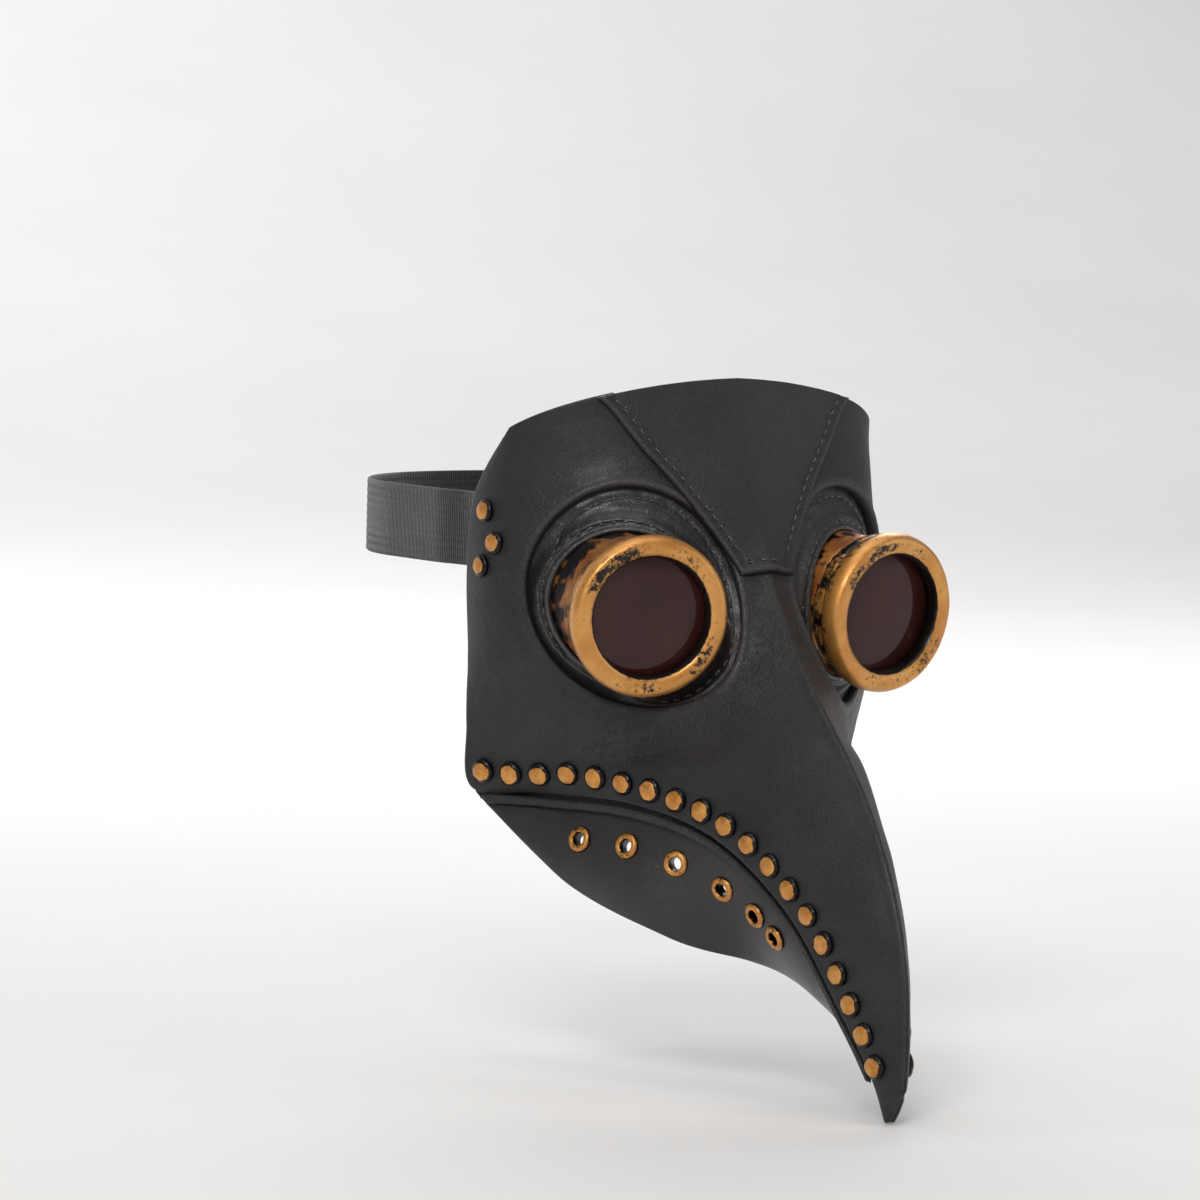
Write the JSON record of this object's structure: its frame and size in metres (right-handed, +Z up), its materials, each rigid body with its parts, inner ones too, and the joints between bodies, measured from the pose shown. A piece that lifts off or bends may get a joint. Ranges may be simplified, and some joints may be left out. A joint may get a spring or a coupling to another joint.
{
  "type": "plague doctor mask",
  "caption": "Beaked leather face mask with round screw-on eyepieces, a studded lip, a hollow hooked beak over an eyeleted jaw, and an elastic head strap.",
  "frame": {"origin": "the wearer's mid-eye point, between and just behind the eyepieces, on the plane of symmetry", "axes": "-Y out of the face towards the beak, +Z up, +X to the wearer's left"},
  "size_m": [0.1546, 0.2921, 0.2358],
  "materials": {
    "leather": "black full-grain leather, semi-gloss, fine grain, stitched edges",
    "socket_leather": "thinner black leather, creased around the eyepieces",
    "jaw_leather": "black leather, polished, with a raised welt",
    "gilt_hardware": "antiqued gold, dark in the hollows, worn bright on the domes",
    "gilt_bezel": "antiqued gold with dark specks and patches",
    "copper_barrel": "mottled dark copper, streaked with black",
    "plain_brass": "plain dull brass, unseen in use",
    "smoked_lens": "smoked brown lens, polished",
    "gasket": "black rubber ring",
    "elastic": "black woven elastic, ribbed lengthwise"
  },
  "bodies": {
    "mask": {"forehead_panel": "leather", "side_panel_left": "leather", "side_panel_right": "leather", "eye_surround_left": "socket_leather", "eye_surround_right": "socket_leather", "jaw_panel_left": "jaw_leather", "jaw_panel_right": "jaw_leather", "lip_welt_left": "jaw_leather", "lip_welt_right": "jaw_leather", "lip_studs_left": "gilt_hardware", "lip_studs_right": "gilt_hardware", "stud_burrs_left": "plain_brass", "stud_burrs_right": "plain_brass", "jaw_eyelets_left": "gilt_hardware", "jaw_eyelets_right": "gilt_hardware", "eyelet_washers_left": "plain_brass", "eyelet_washers_right": "plain_brass", "eyepiece_barrel_left": "copper_barrel", "eyepiece_barrel_right": "copper_barrel", "barrel_clamp_left": "copper_barrel", "barrel_clamp_right": "copper_barrel", "lens_gasket_left": "gasket", "lens_gasket_right": "gasket", "strap_end_left": "elastic", "strap_end_right": "elastic", "strap_rivets_left": "gilt_hardware", "strap_rivets_right": "gilt_hardware", "rivet_burrs_left": "plain_brass", "rivet_burrs_right": "plain_brass"},
    "lens_left": {"lens_left": "smoked_lens"},
    "lens_right": {"lens_right": "smoked_lens"},
    "bezel_left": {"bezel_ring_left": "gilt_bezel"},
    "bezel_right": {"bezel_ring_right": "gilt_bezel"},
    "strap": {"head_strap": "elastic"}
  },
  "joints": [
    {"name": "lens_slide_left", "type": "slide", "parent": "mask", "child": "lens_left", "axis": [0.1898, -0.9762, -0.1045], "range_m": [0, 0.003]},
    {"name": "bezel_turn_left", "type": "hinge", "parent": "lens_left", "child": "bezel_left", "pos_m": [0.04245, -0.00987, 0.00458], "axis": [0.1898, -0.9762, -0.1045], "range_deg": [0, 720]},
    {"name": "lens_slide_right", "type": "slide", "parent": "mask", "child": "lens_right", "axis": [-0.1898, -0.9762, -0.1045], "range_m": [0, 0.003]},
    {"name": "bezel_turn_right", "type": "hinge", "parent": "lens_right", "child": "bezel_right", "pos_m": [-0.04245, -0.00987, 0.00458], "axis": [-0.1898, -0.9762, -0.1045], "range_deg": [0, 720]},
    {"name": "strap_lift", "type": "hinge", "parent": "mask", "child": "strap", "pos_m": [0, 0.0585, 0.027], "axis": [1, 0, 0], "range_deg": [0, 75]}
  ],
  "couplings": [
    {"joint": "lens_slide_left", "follows": "bezel_turn_left", "m_per_rad": 0.00023873},
    {"joint": "lens_slide_right", "follows": "bezel_turn_right", "m_per_rad": 0.00023873}
  ]
}
